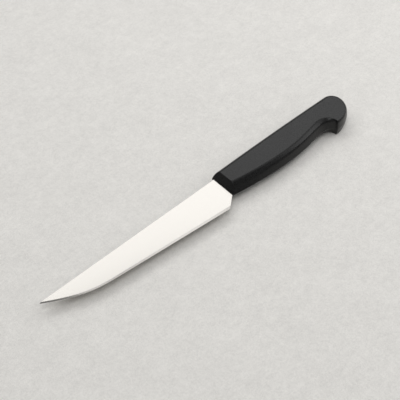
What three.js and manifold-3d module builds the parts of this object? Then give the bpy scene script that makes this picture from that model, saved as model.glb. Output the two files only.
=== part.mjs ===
// A cheese knife: a thin pointed blade whose hidden tang is held in a moulded handle with a hooked pommel.
// Millimetres, +Z up. The knife lies on one flank: tip towards -X, pommel towards +X, spine towards +Y.
// Outlines are drawn from the handle's nose (x = 0) and the blade's spine (y = 0),
// on both sides of the mid-plane (z = 0).
import * as THREE from "three";
import { mergeVertices } from "three/addons/utils/BufferGeometryUtils.js";
import Module from "manifold-3d";

const wasm = await Module();
wasm.setup();
const at = (x, y) => new THREE.Vector2(x, y);

// Blade
const BLADE_LENGTH = 150; // nose of the handle to the point
const NOSE_HEIGHT = 18.5; // spine to heel cut, where the blade enters the handle
const HEEL_HEIGHT = 26.2; // spine to the heel's corner
const HEEL_CUT_ANGLE = 39; // degrees between the spine and the cut from the handle down to the heel
const EDGE_ANGLE = 5.1; // degrees between the spine and the straight part of the edge
const TIP_ANGLE = 31.4; // degrees between the spine and the edge at the point
const TIP_RUN = 23.6; // length of straight edge that the upsweep takes up before its corner
const TIP_FULLNESS = 0.8; // how far the upsweep fills that corner
const HEEL_BEVEL = 2; // width of the ground bevel at the heel, square to the edge
const TIP_BEVEL = 0.85; // its width at the point
const EDGE_LAND = 0.1; // thickness left at the edge itself
const SPINE_THICKNESS = 1.2; // at the nose
const TIP_THICKNESS = 0.6; // at the point, before the bevel
const HEEL_THICKNESS = 0.45; // at the heel, before the bevel

// Tang
const TANG_FROM_BUTT = 27; // plastic behind the tang's end
const TANG_TOP = 3.4; // below the spine
const TANG_HEIGHT = 10;
const SHOULDER_DEPTH = 8; // nose of the handle to the step down to the tang
const SHOULDER_ROUND = 0.5;
const ROOT_ROUND = 2;
const TANG_END_ROUND = 3;
const ANCHOR_DIAMETER = 5; // holes that the handle's posts pass through
const ANCHOR_FROM_NOSE = 30; // to the first hole
const ANCHOR_FROM_END = 22; // last hole to the tang's end
const ANCHOR_COUNT = 2;

// Handle, on its ridge line round the mid-plane
const HANDLE_LENGTH = 121;
const HANDLE_THICKNESS = 14.1;
const BACK_RISE = 1.7; // back of the handle above the blade's spine, at the nose
const BACK_CROWN = 0.5; // arch of the back over its length
const BACK_FALL = 0.35; // back at its rear end below the back at the nose
const NOSE_DROP = 19; // belly below the blade's spine, at the nose
const SWELL_DROP = 23.6; // at the swell that fills the palm
const SWELL_FROM_NOSE = 51;
const SWELL_REACH = 22; // length of the swell's flat run, on each side of it
const WAIST_DROP = 19.9; // at the recess for the little finger
const WAIST_FROM_BUTT = 31;
const WAIST_REACH = 8;
const BEAK_DROP = 25.6; // at the hook that ends the grip
const BEAK_FROM_BUTT = 21.8;
const BEAK_ROUND = 0.8;
const BUTT_DROP = 9; // at the rearmost point
const BACK_END = 9; // rearmost point to the end of the straight back

// Handle, from that ridge line in to the flat flanks
const NOSE_LEAN = 4;
const BACK_INSET = 4.35;
const NOSE_INSET = 5.7;
const SWELL_INSET = 5;
const WAIST_INSET = 5.4;
const HOOK_INSET = 0.7;
const BEAK_INSET = 1.5;
const BUTT_INSET = 3.3;

// How a side rises from ridge to flank, as shares of the way in and of the way up
const ROUND_SIDE = [at(0, 0), at(0, 0.55), at(0.45, 1), at(1, 1)]; // control points of the back's curve
const NOSE_CREASE = at(0.52, 0.62); // where the belly's bevel breaks into two faces, at the nose
const WAIST_CREASE = at(0.43, 0.8); // and at the waist
const CREASE_ROUND = 0.3; // share of each face that goes into the soft edges next to it

const CLEARANCE = 0.3; // handle to tang, all round
const OVERSHOOT = 3; // how far the cuts run past the faces that they open

// Facets
const PEG_SIDES = 32;
const CORNER_STEPS = 5; // round each corner of the tang
const TIP_STEPS = 32; // along the upsweep
const CREASE_STEPS = 3; // over each soft edge of the belly

// Solids

function toSolid(geometry) {
  geometry.deleteAttribute("normal");
  geometry.deleteAttribute("uv");
  const merged = mergeVertices(geometry);
  return new wasm.Manifold(
    new wasm.Mesh({
      numProp: 3,
      vertProperties: new Float32Array(merged.attributes.position.array),
      triVerts: new Uint32Array(merged.index.array),
    }),
  );
}

function toMesh(solid, name, material) {
  const made = solid.getMesh();
  const geometry = new THREE.BufferGeometry();
  geometry.setAttribute("position", new THREE.BufferAttribute(made.vertProperties, 3));
  geometry.setIndex(new THREE.BufferAttribute(made.triVerts, 1));
  geometry.computeVertexNormals();
  const mesh = new THREE.Mesh(geometry, material);
  mesh.name = name;
  return mesh;
}

// Closed skin over rings of equally many points, lowest first, each counterclockwise seen from +Z.
function loft(rings) {
  const count = rings[0].length;
  const index = [];
  for (let ring = 0; ring + 1 < rings.length; ring++) {
    for (let i = 0; i < count; i++) {
      const a = ring * count + i;
      const b = ring * count + ((i + 1) % count);
      index.push(a, b, b + count, a, b + count, a + count);
    }
  }
  const flat = (ring) => ring.map((p) => at(p.x, p.y));
  const top = (rings.length - 1) * count;
  for (const [a, b, c] of THREE.ShapeUtils.triangulateShape(flat(rings[0]), [])) {
    index.push(c, b, a);
  }
  for (const [a, b, c] of THREE.ShapeUtils.triangulateShape(flat(rings.at(-1)), [])) {
    index.push(top + a, top + b, top + c);
  }
  return toSolid(new THREE.BufferGeometry().setFromPoints(rings.flat()).setIndex(index));
}

// Upright round peg through the handle's whole thickness.
function peg(diameter, x, y) {
  const geometry = new THREE.CylinderGeometry(diameter / 2, diameter / 2, HANDLE_THICKNESS, PEG_SIDES);
  return toSolid(geometry.rotateX(Math.PI / 2).translate(x, y, 0));
}

// Outlines

const line = (a, b) => new THREE.LineCurve(a, b);
const bend = (a, b, c) => new THREE.QuadraticBezierCurve(a, b, c);
const sweep = (a, b, c, d) => new THREE.CubicBezierCurve(a, b, c, d);

// Points along the curves, without each curve's last, which the next one starts with.
const trace = (curves) => curves.flatMap(({ curve, steps }) => curve.getPoints(steps).slice(0, -1));

// Straight stretches through the corners, each corner but the first and the last rounded off.
function roundedLine(corners) {
  const curves = [];
  let from = corners[0].point;
  for (let i = 1; i + 1 < corners.length; i++) {
    const { point, round } = corners[i];
    const start = point.clone().add(from.clone().sub(point).setLength(round));
    const end = point.clone().add(corners[i + 1].point.clone().sub(point).setLength(round));
    curves.push({ curve: line(from, start), steps: 1 });
    curves.push({ curve: bend(start, point, end), steps: CORNER_STEPS });
    from = end;
  }
  curves.push({ curve: line(from, corners.at(-1).point), steps: 1 });
  return curves;
}

// A line through a point at an angle to the spine, moved sideways towards the spine by inset.
function slope(point, angle, inset) {
  const turn = THREE.MathUtils.degToRad(angle);
  const rise = Math.tan(turn);
  return { rise, start: point.y - rise * point.x + inset / Math.cos(turn) };
}
const heightOn = (slanted, x) => slanted.start + slanted.rise * x;
const reachOn = (slanted, y) => (y - slanted.start) / slanted.rise;
function crossing(a, b) {
  const x = (b.start - a.start) / (a.rise - b.rise);
  return at(x, heightOn(a, x));
}

// Blade and tang

// The heel cut, which runs on inside the handle as far as the tang.
const heelCut = (grow) => slope(at(0, -NOSE_HEIGHT), HEEL_CUT_ANGLE, -grow);
const heel = at(reachOn(heelCut(0), -HEEL_HEIGHT), -HEEL_HEIGHT);
const tangEnd = HANDLE_LENGTH - TANG_FROM_BUTT;
const anchorPitch = (tangEnd - ANCHOR_FROM_END - ANCHOR_FROM_NOSE) / Math.max(ANCHOR_COUNT - 1, 1);
const anchors = Array.from({ length: ANCHOR_COUNT }, (_, i) => ANCHOR_FROM_NOSE + i * anchorPitch);
const tangMiddle = -TANG_TOP - TANG_HEIGHT / 2;

// From a point on the heel cut, round the tang and its shoulder, to the spine at x = front.
function tangCurves(start, front, grow) {
  const bottom = -TANG_TOP - TANG_HEIGHT - grow;
  const top = -TANG_TOP + grow;
  const end = tangEnd + grow;
  const shoulder = SHOULDER_DEPTH + grow;
  return roundedLine([
    { point: start },
    { point: at(reachOn(heelCut(grow), bottom), bottom), round: ROOT_ROUND },
    { point: at(end, bottom), round: TANG_END_ROUND },
    { point: at(end, top), round: TANG_END_ROUND },
    { point: at(shoulder, top), round: ROOT_ROUND },
    { point: at(shoulder, grow), round: SHOULDER_ROUND },
    { point: at(front, grow) },
  ]);
}

// The blade's outline from the point round to the point again, its edge moved in by inset.
function bladeCurves(inset) {
  const edge = slope(heel, -EDGE_ANGLE, inset);
  const upsweep = slope(at(-BLADE_LENGTH, 0), -TIP_ANGLE, inset);
  const corner = crossing(edge, upsweep);
  const tip = at(reachOn(upsweep, 0), 0);
  const start = at(corner.x + TIP_RUN, heightOn(edge, corner.x + TIP_RUN));
  const towardsCorner = (point) => point.clone().lerp(corner, TIP_FULLNESS);
  const heelCorner = crossing(edge, heelCut(0));
  return [
    { curve: sweep(tip, towardsCorner(tip), towardsCorner(start), start), steps: TIP_STEPS },
    { curve: line(start, heelCorner), steps: 1 },
    ...tangCurves(heelCorner, tip.x, 0),
  ];
}

// Where the bevel meets the flat of the blade.
function flankOutline() {
  const narrow = trace(bladeCurves(TIP_BEVEL));
  const wide = trace(bladeCurves(HEEL_BEVEL));
  const tip = narrow[0].x;
  return narrow.map((p, i) => p.clone().lerp(wide[i], Math.min((p.x - tip) / (heel.x - tip), 1)));
}

// Half the blade's thickness: one flat taper, thinner towards the point and towards the edge.
const taperAlong = (SPINE_THICKNESS - TIP_THICKNESS) / 2 / BLADE_LENGTH;
const taperAcross = ((SPINE_THICKNESS - HEEL_THICKNESS) / 2 + taperAlong * heel.x) / HEEL_HEIGHT;
const bladeHalf = (p) => SPINE_THICKNESS / 2 + taperAlong * p.x + taperAcross * p.y;

function makeBlade() {
  const flank = flankOutline();
  const edge = trace(bladeCurves(0));
  const raised = (points, height) => points.map((p) => new THREE.Vector3(p.x, p.y, height(p)));
  let blade = loft([
    raised(flank, (p) => -bladeHalf(p)),
    raised(edge, () => -EDGE_LAND / 2),
    raised(edge, () => EDGE_LAND / 2),
    raised(flank, bladeHalf),
  ]);
  for (const x of anchors) {
    blade = blade.subtract(peg(ANCHOR_DIAMETER, x, tangMiddle));
  }
  return blade;
}

// Handle

// The room that the handle leaves for the tang, open at the nose, with a post through each anchor hole.
function makePocket() {
  const front = at(-OVERSHOOT, heightOn(heelCut(CLEARANCE), -OVERSHOOT));
  const outline = trace([
    ...tangCurves(front, -OVERSHOOT, CLEARANCE),
    { curve: line(at(-OVERSHOOT, CLEARANCE), front), steps: 1 },
  ]);
  const wall = (side) => outline.map((p) => new THREE.Vector3(p.x, p.y, side * (bladeHalf(p) + CLEARANCE)));
  let pocket = loft([wall(-1), wall(1)]);
  for (const x of anchors) {
    pocket = pocket.subtract(peg(ANCHOR_DIAMETER - 2 * CLEARANCE, x, tangMiddle));
  }
  return pocket;
}

// The handle's outline, from the ridge line (inward = 0) to the flat flank (inward = 1).
// Flatness says how its side rises, from each curve's start to its end: 0 is a round, 1 a creased bevel.
function handleCurves(inward) {
  const back = BACK_RISE - inward * BACK_INSET;
  const backEnd = at(HANDLE_LENGTH - BACK_END, back - BACK_FALL);
  const crown = at(backEnd.x / 2, back - BACK_FALL / 2 + 2 * BACK_CROWN);
  const nose = at(0, -NOSE_DROP + inward * NOSE_INSET);
  const swell = at(SWELL_FROM_NOSE, -SWELL_DROP + inward * SWELL_INSET);
  const waist = at(HANDLE_LENGTH - WAIST_FROM_BUTT, -WAIST_DROP + inward * WAIST_INSET);
  const beak = at(HANDLE_LENGTH - BEAK_FROM_BUTT + inward * HOOK_INSET, -BEAK_DROP + inward * BEAK_INSET);
  const butt = at(HANDLE_LENGTH - inward * BUTT_INSET, -BUTT_DROP);
  const frontBack = at(-OVERSHOOT, back);
  const frontBelly = at(-OVERSHOOT, nose.y);
  const swellFront = at(swell.x - SWELL_REACH, swell.y);
  const swellRear = at(swell.x + SWELL_REACH, swell.y);
  const waistFront = at(waist.x - WAIST_REACH, waist.y);
  const wall = at(beak.x, beak.y + BEAK_ROUND);
  const sole = at(beak.x + BEAK_ROUND, beak.y);

  // Quarter of an ellipse from a to b about the corner of their box at (x, y).
  const quarter = (x, y, a, b, from, to) =>
    new THREE.EllipseCurve(x, y, Math.abs(a.x - b.x), Math.abs(a.y - b.y), from, to, to < from);
  const right = Math.PI / 2;
  return [
    { curve: line(frontBack, frontBelly), steps: 8, flatness: [0, 1] },
    { curve: line(frontBelly, nose), steps: 1, flatness: [1, 1] },
    { curve: bend(nose, swellFront, swell), steps: 16, flatness: [1, 1] },
    { curve: sweep(swell, swellRear, waistFront, waist), steps: 20, flatness: [1, 1] },
    { curve: quarter(waist.x, wall.y, waist, wall, right, 0), steps: 18, flatness: [1, 1] },
    { curve: bend(wall, beak, sole), steps: 4, flatness: [1, 1] },
    { curve: quarter(sole.x, butt.y, sole, butt, -right, 0), steps: 22, flatness: [1, 0] },
    { curve: quarter(backEnd.x, butt.y, butt, backEnd, 0, right), steps: 16, flatness: [0, 0] },
    { curve: bend(backEnd, crown, at(0, back)), steps: 20, flatness: [0, 0] },
    { curve: line(at(0, back), frontBack), steps: 1, flatness: [0, 0] },
  ];
}

// A creased bevel: a steep face, a soft crease, a shallow face and the flank's soft edge.
function bevelSide(crease) {
  const ridge = at(0, 0);
  const flank = at(1, 1);
  const soft = (start, corner, end) => bend(start, corner, end).getPoints(CREASE_STEPS);
  const below = crease.clone().lerp(ridge, CREASE_ROUND);
  const above = crease.clone().lerp(flank, CREASE_ROUND);
  const edge = flank.clone().lerp(crease, CREASE_ROUND);
  const inside = at(1 + CREASE_ROUND * crease.distanceTo(flank), 1);
  return [ridge, ...soft(below, crease, above), ...soft(edge, flank, inside)];
}

// The side's stations over the ridge line's point at x.
function sideStations(flatness, x) {
  const fromNose = THREE.MathUtils.clamp(x / (HANDLE_LENGTH - WAIST_FROM_BUTT), 0, 1);
  const bevel = bevelSide(NOSE_CREASE.clone().lerp(WAIST_CREASE, fromNose));
  const round = sweep(...ROUND_SIDE).getPoints(bevel.length - 1);
  return round.map((p, i) => p.lerp(bevel[i], flatness));
}

function handleBody() {
  const ridge = trace(handleCurves(0));
  const flank = trace(handleCurves(1));
  const flatness = handleCurves(0).flatMap(({ steps, flatness: [from, to] }) =>
    Array.from({ length: steps }, (_, i) => THREE.MathUtils.lerp(from, to, i / steps)),
  );
  const sides = ridge.map((p, i) => sideStations(flatness[i], p.x));
  const levels = sides[0].length - 1;
  const rings = [];
  for (let level = -levels; level <= levels; level++) {
    const ring = sides.map((side, i) => {
      const share = side[Math.abs(level)];
      const place = ridge[i].clone().lerp(flank[i], share.x);
      return new THREE.Vector3(place.x, place.y, (Math.sign(level) * share.y * HANDLE_THICKNESS) / 2);
    });
    rings.push(ring);
  }
  return loft(rings);
}

// What two faces cut away in front of the nose: they lean back from the mid-plane to each flank.
function noseCut() {
  const half = HANDLE_THICKNESS / 2;
  const reach = half + OVERSHOOT;
  const lean = (NOSE_LEAN / half) * reach;
  const front = -2 * OVERSHOOT;
  const corners = [at(front, -reach), at(lean, -reach), at(0, 0), at(lean, reach), at(front, reach)];
  const across = 2 * (BACK_RISE + BEAK_DROP);
  const profile = new THREE.Shape(corners);
  const geometry = new THREE.ExtrudeGeometry(profile, { depth: across, bevelEnabled: false });
  return toSolid(geometry.rotateX(Math.PI / 2).translate(0, across / 2, 0));
}

function makeHandle() {
  return handleBody().subtract(noseCut()).subtract(makePocket());
}

// Knife

const steel = new THREE.MeshStandardMaterial({ color: 0xcfcdc9, roughness: 0.22, metalness: 1 });
const blackPlastic = new THREE.MeshStandardMaterial({ color: 0x1c1c1d, roughness: 0.5, metalness: 0 });

const knife = new THREE.Group();
knife.add(toMesh(makeBlade(), "blade", steel));
knife.add(toMesh(makeHandle(), "handle", blackPlastic));

// The origin is in the middle of the knife's box, on the surface that it lies on.
const box = new THREE.Box3().setFromObject(knife);
const middle = box.getCenter(new THREE.Vector3());
knife.position.set(-middle.x, -middle.y, -box.min.z);

export default knife;
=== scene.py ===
import math

import bmesh
import bpy
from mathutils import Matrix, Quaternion, Vector


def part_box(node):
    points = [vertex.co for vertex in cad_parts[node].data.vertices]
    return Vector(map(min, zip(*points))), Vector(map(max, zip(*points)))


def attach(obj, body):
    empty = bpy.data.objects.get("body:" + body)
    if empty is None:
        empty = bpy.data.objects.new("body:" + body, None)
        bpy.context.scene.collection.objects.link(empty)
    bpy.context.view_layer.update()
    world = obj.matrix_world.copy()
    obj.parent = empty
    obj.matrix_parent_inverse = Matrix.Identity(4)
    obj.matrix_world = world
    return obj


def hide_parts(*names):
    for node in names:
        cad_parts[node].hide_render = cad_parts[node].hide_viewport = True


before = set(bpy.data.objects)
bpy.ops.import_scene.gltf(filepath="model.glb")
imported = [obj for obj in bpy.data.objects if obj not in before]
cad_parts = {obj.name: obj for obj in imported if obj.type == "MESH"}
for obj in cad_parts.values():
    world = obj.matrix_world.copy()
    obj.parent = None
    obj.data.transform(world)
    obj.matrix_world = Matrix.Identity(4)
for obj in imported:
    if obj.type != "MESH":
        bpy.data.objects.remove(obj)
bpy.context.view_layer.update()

# A cheese knife that lies on one flank of its handle, on a pale floor.
#
# Outlines are drawn in the knife's mid-plane, in metres. x runs from the handle's nose to the pommel, y up
# from the blade's spine, and z is the height over the mid-plane. The frame's own boxes say where that is.

BLADE_LOW, BLADE_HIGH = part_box("blade")
HANDLE_LOW, HANDLE_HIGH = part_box("handle")
MID_PLANE = Vector((HANDLE_LOW.x, BLADE_HIGH.y, (HANDLE_LOW.z + HANDLE_HIGH.z) / 2))

# Blade sizes
BLADE_LENGTH = HANDLE_LOW.x - BLADE_LOW.x
HEEL_HEIGHT = BLADE_HIGH.y - BLADE_LOW.y
NOSE_HEIGHT = 0.0185
HEEL_CUT_ANGLE = math.radians(39)
EDGE_ANGLE = math.radians(5.1)
TIP_ANGLE = math.radians(31.4)
TIP_RUN = 0.0236
TIP_FULLNESS = 0.8  # how close the tip's control points come to its corner
HEEL_BEVEL = 0.0020
TIP_BEVEL = 0.0011
POINT_DROP = 0.0005  # from the spine down to the blunted point
EDGE_LAND = 0.0001
SPINE_THICKNESS = 0.0012
BEVEL_THICKNESS = 0.00044
BLADE_SHARP_ANGLE = math.radians(2.5)
TANG_LENGTH = BLADE_HIGH.x - HANDLE_LOW.x
TANG_TOP = 0.0034
TANG_HEIGHT = 0.010
SHOULDER_DEPTH = 0.008
TANG_FIT = 0.00003  # the hair between the steel and the plastic

# Handle outline
HANDLE_LENGTH = HANDLE_HIGH.x - HANDLE_LOW.x
HALF_THICKNESS = (HANDLE_HIGH.z - HANDLE_LOW.z) / 2
BACK_RISE = 0.0017
BACK_CROWN = 0.0005
BACK_FALL = 0.00035
BACK_END = 0.009
NOSE_DROP = 0.019
SWELL_DROP = 0.0236
SWELL_FROM_NOSE = 0.051
SWELL_REACH = 0.022
WAIST_DROP = 0.0199
WAIST_FROM_BUTT = 0.031
WAIST_REACH = 0.008
BEAK_DROP = BLADE_HIGH.y - HANDLE_LOW.y
BEAK_FROM_BUTT = 0.0218
BEAK_ROUND = 0.0008
BUTT_DROP = 0.009

# Handle sides
NOSE_LEAN = 0.004
NOSE_ROUND = 0.0004
NOSE_BACK_CORNER = 0.0004
NOSE_BELLY_CORNER = 0.001
BACK_INSET = 0.00435
NOSE_INSET = 0.0057
SWELL_INSET = 0.005
WAIST_INSET = 0.0054
HOOK_INSET = 0.0007
BEAK_INSET = 0.0015
BUTT_INSET = 0.0033
NOSE_CREASE = (0.52, 0.62)  # shares inward and up
WAIST_CREASE = (0.43, 0.80)
CREASE_CUT = 0.3  # the share of a bevel's lines that its rounded crease takes
FLANK_CUT = 0.3  # the share that the flank's rounded rim takes
FLANK_BAND = 0.07  # a band of the flank inside its rim, as a share of the inset
HANDLE_SHARP_ANGLE = math.radians(40)

# Steps of the curves
TIP_STEPS = 48
EDGE_STEPS = 24
FLANK_STEPS = 6
SIDE_STEPS = 40
NOSE_STEPS = 10
CORNER_STEPS = 5
BELLY_STEPS = 40
RECESS_STEPS = 24
BEAK_STEPS = 8
POMMEL_STEPS = 28
BACK_STEPS = 48
HALVINGS = 40

# Camera and stage, with angles in degrees
AIM = MID_PLANE + Vector((-0.018997, -0.006636, 0))
CAMERA_DISTANCE = 0.677366
CAMERA_AZIMUTH = -133.113
CAMERA_ELEVATION = 49.498
LENS_MM = 90
SENSOR_MM = 36
LAMP_DISTANCE = 1.3
WORLD_STRENGTH = 0.25
FLOOR_HALF = 3.0
FLOOR_GAP = 0.00002


def at(x, y):
    return Vector((x, y))


def bezier(points, share):
    """The point of a curve on 2, 3 or 4 control points."""
    while len(points) > 1:
        points = [a.lerp(b, share) for a, b in zip(points, points[1:])]
    return points[0]


def quarter(start, end, centre, share):
    """The point of a quarter of an ellipse."""
    turn = share * math.pi / 2
    return centre + (start - centre) * math.cos(turn) + (end - centre) * math.sin(turn)


def shares(steps):
    return [i / steps for i in range(steps)]


def turning_share(is_before):
    """The share up to which is_before holds, found by halving."""
    low, high = 0.0, 1.0
    for _ in range(HALVINGS):
        middle = (low + high) / 2
        if is_before(middle):
            low = middle
        else:
            high = middle
    return high


# Blade

def slope(through, angle, inset):
    """A line as (point, direction), moved up by inset across itself."""
    along = at(math.cos(angle), math.sin(angle))
    return through + inset * at(-along.y, along.x), along


def height_on(line, x):
    point, along = line
    return point.y + (x - point.x) * along.y / along.x


def reach_on(line, y):
    point, along = line
    return point.x + (y - point.y) * along.x / along.y


def crossing(a, b):
    (p, u), (q, v) = a, b
    return p + u * ((q - p).cross(v) / u.cross(v))


ROOT_FOOT = at(0, -NOSE_HEIGHT)
HEEL_CUT = slope(ROOT_FOOT, HEEL_CUT_ANGLE, 0)
HEEL = at(reach_on(HEEL_CUT, -HEEL_HEIGHT), -HEEL_HEIGHT)


def blade_edge(inset):
    """From the point along the curved tip and the straight edge to the heel cut."""
    edge = slope(HEEL, -EDGE_ANGLE, inset)
    upsweep = slope(at(-BLADE_LENGTH, -POINT_DROP), -TIP_ANGLE, inset)
    corner = crossing(edge, upsweep)
    tip = at(reach_on(upsweep, 0), 0)
    if tip.x < -BLADE_LENGTH:
        tip = at(-BLADE_LENGTH, height_on(upsweep, -BLADE_LENGTH))
    start = at(corner.x + TIP_RUN, height_on(edge, corner.x + TIP_RUN))
    curve = [tip, tip.lerp(corner, TIP_FULLNESS), start.lerp(corner, TIP_FULLNESS), start]
    heel = crossing(edge, HEEL_CUT)
    straight = [start.lerp(heel, t) for t in shares(EDGE_STEPS)]
    return [bezier(curve, t) for t in shares(TIP_STEPS)] + straight + [heel]


def bevel_top():
    """Where the ground bevel meets the flank. It is narrower towards the point."""
    narrow, wide = blade_edge(TIP_BEVEL), blade_edge(HEEL_BEVEL)
    return [n.lerp(w, (n.x - narrow[0].x) / (narrow[-1].x - narrow[0].x)) for n, w in zip(narrow, wide)]


BEVEL_LINE = slope(bevel_top()[-1], -EDGE_ANGLE, 0)


def blade_half(p, foot):
    """Half of the blade's thickness at a point between the spine and the foot of the flank below it."""
    spine = BEVEL_THICKNESS + (SPINE_THICKNESS - BEVEL_THICKNESS) * (1 + min(p.x, 0) / BLADE_LENGTH)
    depth = min(p.y / foot, 1) if foot else 0
    return (spine + (BEVEL_THICKNESS - spine) * depth) / 2


def tang_corners(grow):
    """From the foot of the blade's root round the tang to the top of its shoulder."""
    shoulder, end = SHOULDER_DEPTH + grow, TANG_LENGTH + grow
    low, high = -TANG_TOP - TANG_HEIGHT - grow, -TANG_TOP + grow
    return [at(shoulder, -NOSE_HEIGHT - grow), at(shoulder, low), at(end, low),
            at(end, high), at(shoulder, high), at(shoulder, grow)]


def new_piece(name, mesh_builder, body, node):
    mesh = bpy.data.meshes.new(name)
    mesh_builder.to_mesh(mesh)
    mesh_builder.free()
    piece = bpy.data.objects.new(name, mesh)
    bpy.context.scene.collection.objects.link(piece)
    piece.location = MID_PLANE
    bpy.context.view_layer.update()
    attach(piece, body)
    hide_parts(node)
    return piece


def apply_modifiers(piece):
    mesh = bpy.data.meshes.new_from_object(piece.evaluated_get(bpy.context.evaluated_depsgraph_get()))
    piece.modifiers.clear()
    piece.data = mesh


def make_blade():
    build = bmesh.new()
    top_line, edge = bevel_top(), blade_edge(0)
    feet = [(foot, foot.y) for foot in top_line]
    for i in range(EDGE_STEPS):
        foot = top_line[-1].lerp(ROOT_FOOT, (i + 1) / EDGE_STEPS)
        feet.append((foot, min(foot.y, height_on(BEVEL_LINE, foot.x))))
    flank, rims, tangs = {}, {}, {}
    for up in (1, -1):
        flank[up] = []
        for foot, base in feet:
            rows = [at(foot.x, foot.y * (1 - t)) for t in shares(FLANK_STEPS)] + [at(foot.x, 0)]
            # The flank starts as one corner, where the bevel meets the spine.
            if foot.y == 0:
                rows = rows[:1]
            flank[up].append([build.verts.new((p.x, p.y, up * blade_half(p, base))) for p in rows])
        rims[up] = [build.verts.new((p.x, p.y, up * EDGE_LAND / 2)) for p in edge]
        tangs[up] = [build.verts.new((p.x, p.y, up * SPINE_THICKNESS / 2)) for p in tang_corners(0)]

    def face(corners, smooth=False):
        """A face without the corners that fall together."""
        kept = [v for i, v in enumerate(corners) if v != corners[i - 1]]
        build.faces.new(kept).smooth = smooth

    for up in (1, -1):
        columns, rim, tang = flank[up], rims[up], tangs[up]
        for a, b in zip(columns, columns[1:]):
            for i in range(FLANK_STEPS):
                face([a[min(i, len(a) - 1)], b[i], b[i + 1], a[min(i + 1, len(a) - 1)]][::up], True)
        for i in range(len(rim) - 1):
            face([rim[i], rim[i + 1], columns[i + 1][0], columns[i][0]][::up], True)
        face(([tang[0]] + columns[-1][::-1])[::up])
        face((tang + columns[-1][-1:])[::up])
    high, low = flank[1], flank[-1]
    heel = len(edge) - 1
    outline = {}
    for up, columns in flank.items():
        heel_cut = [column[0] for column in columns[heel:]]
        spine = [column[-1] for column in columns[::-1]]
        outline[up] = heel_cut + tangs[up] + spine
    for i in range(heel):
        face([rims[1][i], rims[-1][i], rims[-1][i + 1], rims[1][i + 1]])
    for a, b, c, d in zip(outline[1], outline[1][1:], outline[-1], outline[-1][1:]):
        face([a, c, d, b])
    face([rims[1][heel], rims[-1][heel], low[heel][0], high[heel][0]])
    face([high[0][0], low[0][0], rims[-1][0], rims[1][0]])
    bmesh.ops.recalc_face_normals(build, faces=build.faces)
    blade = new_piece("steel_blade", build, "root", "blade")
    blade.data.set_sharp_from_angle(angle=BLADE_SHARP_ANGLE)
    return blade


# Handle

def handle_curves(inward):
    """The outline's curves from the nose along the belly and round the pommel to the nose.

    inward is 0 on the ridge round the mid-plane and 1 on the flank.
    """
    back = BACK_RISE - inward * BACK_INSET
    back_end = at(HANDLE_LENGTH - BACK_END, back - BACK_FALL)
    crown = at(back_end.x / 2, back - BACK_FALL / 2 + 2 * BACK_CROWN)
    nose = at(0, -NOSE_DROP + inward * NOSE_INSET)
    swell = at(SWELL_FROM_NOSE, -SWELL_DROP + inward * SWELL_INSET)
    waist = at(HANDLE_LENGTH - WAIST_FROM_BUTT, -WAIST_DROP + inward * WAIST_INSET)
    beak = at(HANDLE_LENGTH - BEAK_FROM_BUTT + inward * HOOK_INSET, -BEAK_DROP + inward * BEAK_INSET)
    wall, sole = beak + at(0, BEAK_ROUND), beak + at(BEAK_ROUND, 0)
    butt = at(HANDLE_LENGTH - inward * BUTT_INSET, -BUTT_DROP)
    reach = at(SWELL_REACH, 0)
    return {
        "belly_front": lambda t: bezier([nose, swell - reach, swell], t),
        "belly_rear": lambda t: bezier([swell, swell + reach, waist - at(WAIST_REACH, 0), waist], t),
        "recess": lambda t: quarter(waist, wall, at(waist.x, wall.y), t),
        "beak": lambda t: bezier([wall, beak, sole], t),
        "pommel_low": lambda t: quarter(sole, butt, at(sole.x, butt.y), t),
        "pommel_top": lambda t: quarter(butt, back_end, at(back_end.x, butt.y), t),
        "back": lambda t: bezier([back_end, crown, at(0, back)], t),
    }


RIDGE, FLANK = handle_curves(0), handle_curves(1)
# How much of a bevel each curve's side is at its start and its end, and the curve's steps.
SIDES = {
    "belly_front": ((1, 1), BELLY_STEPS),
    "belly_rear": ((1, 1), BELLY_STEPS),
    "recess": ((1, 1), RECESS_STEPS),
    "beak": ((1, 1), BEAK_STEPS),
    "pommel_low": ((1, 0), POMMEL_STEPS),
    "pommel_top": ((0, 0), POMMEL_STEPS),
    "back": ((0, 0), BACK_STEPS),
}


def between(ends, share):
    return ends[0] + (ends[1] - ends[0]) * share


def bevel_side(crease):
    """A bevel's profile from the ridge over its crease to the flank.

    It is pieces of a curve, as shares inward and up.
    """
    ridge, flank = at(0, 0), at(1, 1)
    below, above = crease.lerp(ridge, CREASE_CUT), crease.lerp(flank, CREASE_CUT)
    edge, inside = flank.lerp(crease, FLANK_CUT), flank + at((flank - crease).length * FLANK_CUT, 0)
    return [ridge, below], [below, crease, above], [above, edge], [edge, flank, inside]


def inward_at(height, bevel, x):
    """How far inward a side has come at a height, both as shares. x is where the side is on the ridge."""
    rounded = 1 - math.sqrt(1 - height ** 2)
    if not bevel:
        return rounded
    from_nose = min(max(x / (HANDLE_LENGTH - WAIST_FROM_BUTT), 0), 1)
    pieces = bevel_side(at(*NOSE_CREASE).lerp(at(*WAIST_CREASE), from_nose))
    piece = next((p for p in pieces if p[-1].y > height), pieces[-1])
    share = turning_share(lambda t: bezier(piece, t).y < height)
    return between((rounded, bezier(piece, share).x), bevel)


def nose_at(z):
    """Where the nose's leaning face is at a height over the mid-plane, rounded into the flank."""
    foot = SPINE_THICKNESS / 2
    lean = math.atan2(HALF_THICKNESS - foot, NOSE_LEAN)
    centre = at(NOSE_LEAN + NOSE_ROUND * math.tan(lean / 2), HALF_THICKNESS - NOSE_ROUND)
    if z > centre.y + NOSE_ROUND * math.cos(lean):
        return centre.x - math.sqrt(max(NOSE_ROUND ** 2 - (z - centre.y) ** 2, 0))
    return NOSE_LEAN * max(z - foot, 0) / (HALF_THICKNESS - foot)


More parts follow.
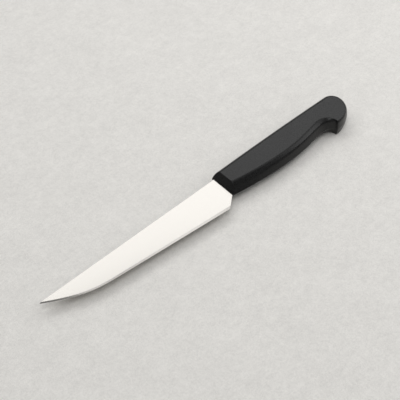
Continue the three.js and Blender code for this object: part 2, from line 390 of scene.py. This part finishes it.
def handle_ring(height, grow_inward=0.0):
    """The handle's outline at a share of its half thickness, as points in the plane."""
    def side_point(curve, t):
        bevel, _ = SIDES[curve]
        ridge = RIDGE[curve](t)
        return ridge.lerp(FLANK[curve](t), inward_at(height, between(bevel, t), ridge.x) + grow_inward)

    def share_at(curve, x):
        """Where a curve has come to x, near the nose."""
        rising = side_point(curve, 1).x > side_point(curve, 0).x
        return turning_share(lambda t: (side_point(curve, t).x < x) == rising)

    nose = nose_at(height * HALF_THICKNESS) + grow_inward * NOSE_LEAN
    back_corner = at(nose, side_point("back", share_at("back", nose)).y)
    belly_corner = at(nose, side_point("belly_front", share_at("belly_front", nose)).y)
    high, low = back_corner - at(0, NOSE_BACK_CORNER), belly_corner + at(0, NOSE_BELLY_CORNER)
    last = share_at("back", nose + NOSE_BACK_CORNER)
    first = share_at("belly_front", nose + NOSE_BELLY_CORNER)
    ring = [bezier([side_point("back", last), back_corner, high], t) for t in shares(CORNER_STEPS)]
    ring += [high.lerp(low, t) for t in shares(NOSE_STEPS)]
    ring += [bezier([low, belly_corner, side_point("belly_front", first)], t) for t in shares(CORNER_STEPS)]
    for curve, (_, steps) in SIDES.items():
        start = first if curve == "belly_front" else 0
        end = last if curve == "back" else 1
        ring += [side_point(curve, start + (end - start) * t) for t in shares(steps)]
    return ring


def tang_pocket():
    """The space that the blade takes in the handle, a hair larger than its root and its tang."""
    build = bmesh.new()
    foot = -NOSE_HEIGHT - TANG_FIT
    thick = SPINE_THICKNESS / 2 + TANG_FIT
    thin = blade_half(ROOT_FOOT, height_on(BEVEL_LINE, 0)) + TANG_FIT
    mouth = [(at(0, TANG_FIT), thick), (at(-NOSE_LEAN, TANG_FIT), thick),
             (at(-NOSE_LEAN, foot), thin), (at(0, foot), thin)]
    outline = mouth + [(p, thick) for p in tang_corners(TANG_FIT)]
    sides = {up: [build.verts.new((p.x, p.y, up * half)) for p, half in outline] for up in (1, -1)}
    for side in sides.values():
        front, tang = side[:len(mouth)], side[len(mouth):]
        build.faces.new(front)
        build.faces.new([front[0], front[-1], tang[0]])
        build.faces.new([front[0]] + tang)
    for i in range(len(outline)):
        build.faces.new([sides[1][i - 1], sides[-1][i - 1], sides[-1][i], sides[1][i]])
    bmesh.ops.recalc_face_normals(build, faces=build.faces)
    mesh = bpy.data.meshes.new("tang_pocket")
    build.to_mesh(mesh)
    build.free()
    pocket = bpy.data.objects.new("tang_pocket", mesh)
    bpy.context.scene.collection.objects.link(pocket)
    pocket.location = MID_PLANE
    return pocket


def make_handle():
    build = bmesh.new()
    heights = [math.sin(math.pi / 2 * i / SIDE_STEPS) for i in range(SIDE_STEPS + 1)]
    upper = [(handle_ring(h), h * HALF_THICKNESS) for h in heights]
    upper.append((handle_ring(1, FLANK_BAND), HALF_THICKNESS))
    rings = [(ring, -z) for ring, z in upper[:0:-1]] + upper
    layers = [[build.verts.new((p.x, p.y, z)) for p in ring] for ring, z in rings]
    for low, high in zip(layers, layers[1:]):
        for i in range(len(low)):
            build.faces.new([low[i - 1], low[i], high[i], high[i - 1]]).smooth = True
    build.faces.new(layers[0][::-1])
    build.faces.new(layers[-1])
    bmesh.ops.recalc_face_normals(build, faces=build.faces)
    handle = new_piece("moulded_handle", build, "root", "handle")
    pocket = tang_pocket()
    cut = handle.modifiers.new("tang_pocket", "BOOLEAN")
    cut.operation = "DIFFERENCE"
    cut.solver = "EXACT"
    cut.object = pocket
    apply_modifiers(handle)
    bpy.data.objects.remove(pocket)
    handle.data.set_sharp_from_angle(angle=HANDLE_SHARP_ANGLE)
    return handle


blade, handle = make_blade(), make_handle()


# Materials

GRAIN_SPAN = (0.35, 0.65)  # the part of a grain's noise over which it goes from one look to the other


def new_material(name):
    material = bpy.data.materials.new(name)
    material.use_nodes = True
    tree = material.node_tree
    return material, tree, tree.nodes["Principled BSDF"]


def noise(tree, scale, detail, stretch=(1, 1, 1), fineness=0.5):
    """A noise in object coordinates, in lumps per metre. fineness is how much each finer detail counts."""
    place = tree.nodes.new("ShaderNodeTexCoord")
    mapping = tree.nodes.new("ShaderNodeMapping")
    mapping.inputs["Scale"].default_value = stretch
    texture = tree.nodes.new("ShaderNodeTexNoise")
    texture.inputs["Scale"].default_value = scale
    texture.inputs["Detail"].default_value = detail
    texture.inputs["Roughness"].default_value = fineness
    tree.links.new(place.outputs["Object"], mapping.inputs["Vector"])
    tree.links.new(mapping.outputs["Vector"], texture.inputs["Vector"])
    return texture.outputs["Fac"]


def ramp(tree, value, low, high, span=(0, 1)):
    """A value as a colour or a number between two ends, which it reaches at the ends of a span."""
    spread = tree.nodes.new("ShaderNodeMapRange")
    spread.inputs["From Min"].default_value, spread.inputs["From Max"].default_value = span
    tree.links.new(value, spread.inputs["Value"])
    is_colour = isinstance(low, tuple)
    mix = tree.nodes.new("ShaderNodeMix")
    mix.data_type = "RGBA" if is_colour else "FLOAT"
    factor, a, b = (s for s in mix.inputs if s.enabled)
    a.default_value = (*low, 1) if is_colour else low
    b.default_value = (*high, 1) if is_colour else high
    tree.links.new(spread.outputs["Result"], factor)
    return next(s for s in mix.outputs if s.enabled)


def bump(tree, value, depth, shader):
    node = tree.nodes.new("ShaderNodeBump")
    node.inputs["Distance"].default_value = depth
    tree.links.new(value, node.inputs["Height"])
    tree.links.new(node.outputs["Normal"], shader.inputs["Normal"])


def satin_steel():
    """Steel with fine lines, as it is ground from the spine to the edge."""
    material, tree, shader = new_material("satin_steel")
    shader.inputs["Metallic"].default_value = 1
    grind = noise(tree, scale=150, detail=2, stretch=(8, 0.4, 1))
    colour = ramp(tree, grind, low=(0.508, 0.49, 0.464), high=(0.532, 0.514, 0.485))
    roughness = ramp(tree, grind, low=0.14, high=0.17)
    tree.links.new(colour, shader.inputs["Base Color"])
    tree.links.new(roughness, shader.inputs["Roughness"])
    return material


def moulded_plastic():
    """Black plastic with the fine matte skin of its mould."""
    material, tree, shader = new_material("moulded_plastic")
    shader.inputs["IOR"].default_value = 1.42
    grain = noise(tree, scale=900, detail=5, fineness=0.7)
    colour = ramp(tree, grain, low=(0.0005, 0.0005, 0.0005), high=(0.0085, 0.0085, 0.0085), span=GRAIN_SPAN)
    roughness = ramp(tree, grain, low=0.24, high=0.36, span=GRAIN_SPAN)
    tree.links.new(colour, shader.inputs["Base Color"])
    tree.links.new(roughness, shader.inputs["Roughness"])
    bump(tree, grain, depth=0.00002, shader=shader)
    return material


def plaster():
    """A pale floor with grains of many sizes."""
    material, tree, shader = new_material("pale_plaster")
    shader.inputs["Roughness"].default_value = 0.9
    shader.inputs["Specular IOR Level"].default_value = 0.2
    grain = noise(tree, scale=20, detail=7, fineness=1.3)
    colour = ramp(tree, grain, low=(0.8, 0.784, 0.751), high=(1, 0.98, 0.939), span=GRAIN_SPAN)
    tree.links.new(colour, shader.inputs["Base Color"])
    bump(tree, grain, depth=0.0002, shader=shader)
    return material


blade.data.materials.append(satin_steel())
handle.data.materials.append(moulded_plastic())


# Stage

floor_mesh = bpy.data.meshes.new("floor")
corners = [(-1, -1), (1, -1), (1, 1), (-1, 1)]
floor_mesh.from_pydata([(x * FLOOR_HALF, y * FLOOR_HALF, HANDLE_LOW.z - FLOOR_GAP) for x, y in corners], [],
                       [(0, 1, 2, 3)])
floor = bpy.data.objects.new("floor", floor_mesh)
floor.data.materials.append(plaster())
bpy.context.scene.collection.objects.link(floor)


def direction(azimuth, elevation):
    """From azimuth 0 along +X towards +Y, in degrees."""
    a, e = math.radians(azimuth), math.radians(elevation)
    return Vector((math.cos(e) * math.cos(a), math.cos(e) * math.sin(a), math.sin(e)))


def soft_box(name, azimuths, elevations, radiance, roll=0):
    """A lamp that fills a range of azimuths and elevations, in degrees, as seen from the knife.

    roll lifts its end of the higher azimuth.
    """
    azimuth, elevation = sum(azimuths) / 2, sum(elevations) / 2
    wide, tall = math.radians(azimuths[1] - azimuths[0]), math.radians(elevations[1] - elevations[0])
    light = bpy.data.lights.new(name, "AREA")
    light.shape = "RECTANGLE"
    light.size = 2 * LAMP_DISTANCE * math.cos(math.radians(elevation)) * math.tan(wide / 2)
    light.size_y = 2 * LAMP_DISTANCE * math.tan(tall / 2)
    light.energy = radiance * math.pi * light.size * light.size_y
    lamp = bpy.data.objects.new(name, light)
    bpy.context.scene.collection.objects.link(lamp)
    lamp.location = AIM + direction(azimuth, elevation) * LAMP_DISTANCE
    facing = direction(azimuth, elevation).to_track_quat("Z", "Y")
    lamp.rotation_euler = (facing @ Quaternion((0, 0, 1), math.radians(roll))).to_euler()


soft_box("right_window", (-42, 12), (18, 42), 2.0)
soft_box("right_upper", (-42, 8), (42, 62), 0.6)
soft_box("back_box", (18, 82), (35.5, 56.5), 1.7, roll=20)
soft_box("back_upper", (8, 44), (56, 67.5), 1.25)
soft_box("back_high", (24, 64), (67.5, 75), 1.0)
soft_box("left_back", (84, 140), (38, 66), 1.1)
soft_box("top_box", (-170, -80), (62, 88), 2.6)

world = bpy.data.worlds.new("room")
world.use_nodes = True
background = world.node_tree.nodes["Background"]
background.inputs["Color"].default_value = (1, 1, 1, 1)
background.inputs["Strength"].default_value = WORLD_STRENGTH
bpy.context.scene.world = world

camera = bpy.data.objects.new("camera", bpy.data.cameras.new("camera"))
camera.data.sensor_width = SENSOR_MM
camera.data.lens = LENS_MM
to_camera = direction(CAMERA_AZIMUTH, CAMERA_ELEVATION)
camera.location = AIM + to_camera * CAMERA_DISTANCE
camera.rotation_euler = to_camera.to_track_quat("Z", "Y").to_euler()
bpy.context.scene.collection.objects.link(camera)
bpy.context.scene.camera = camera
bpy.context.scene.view_settings.view_transform = "Standard"
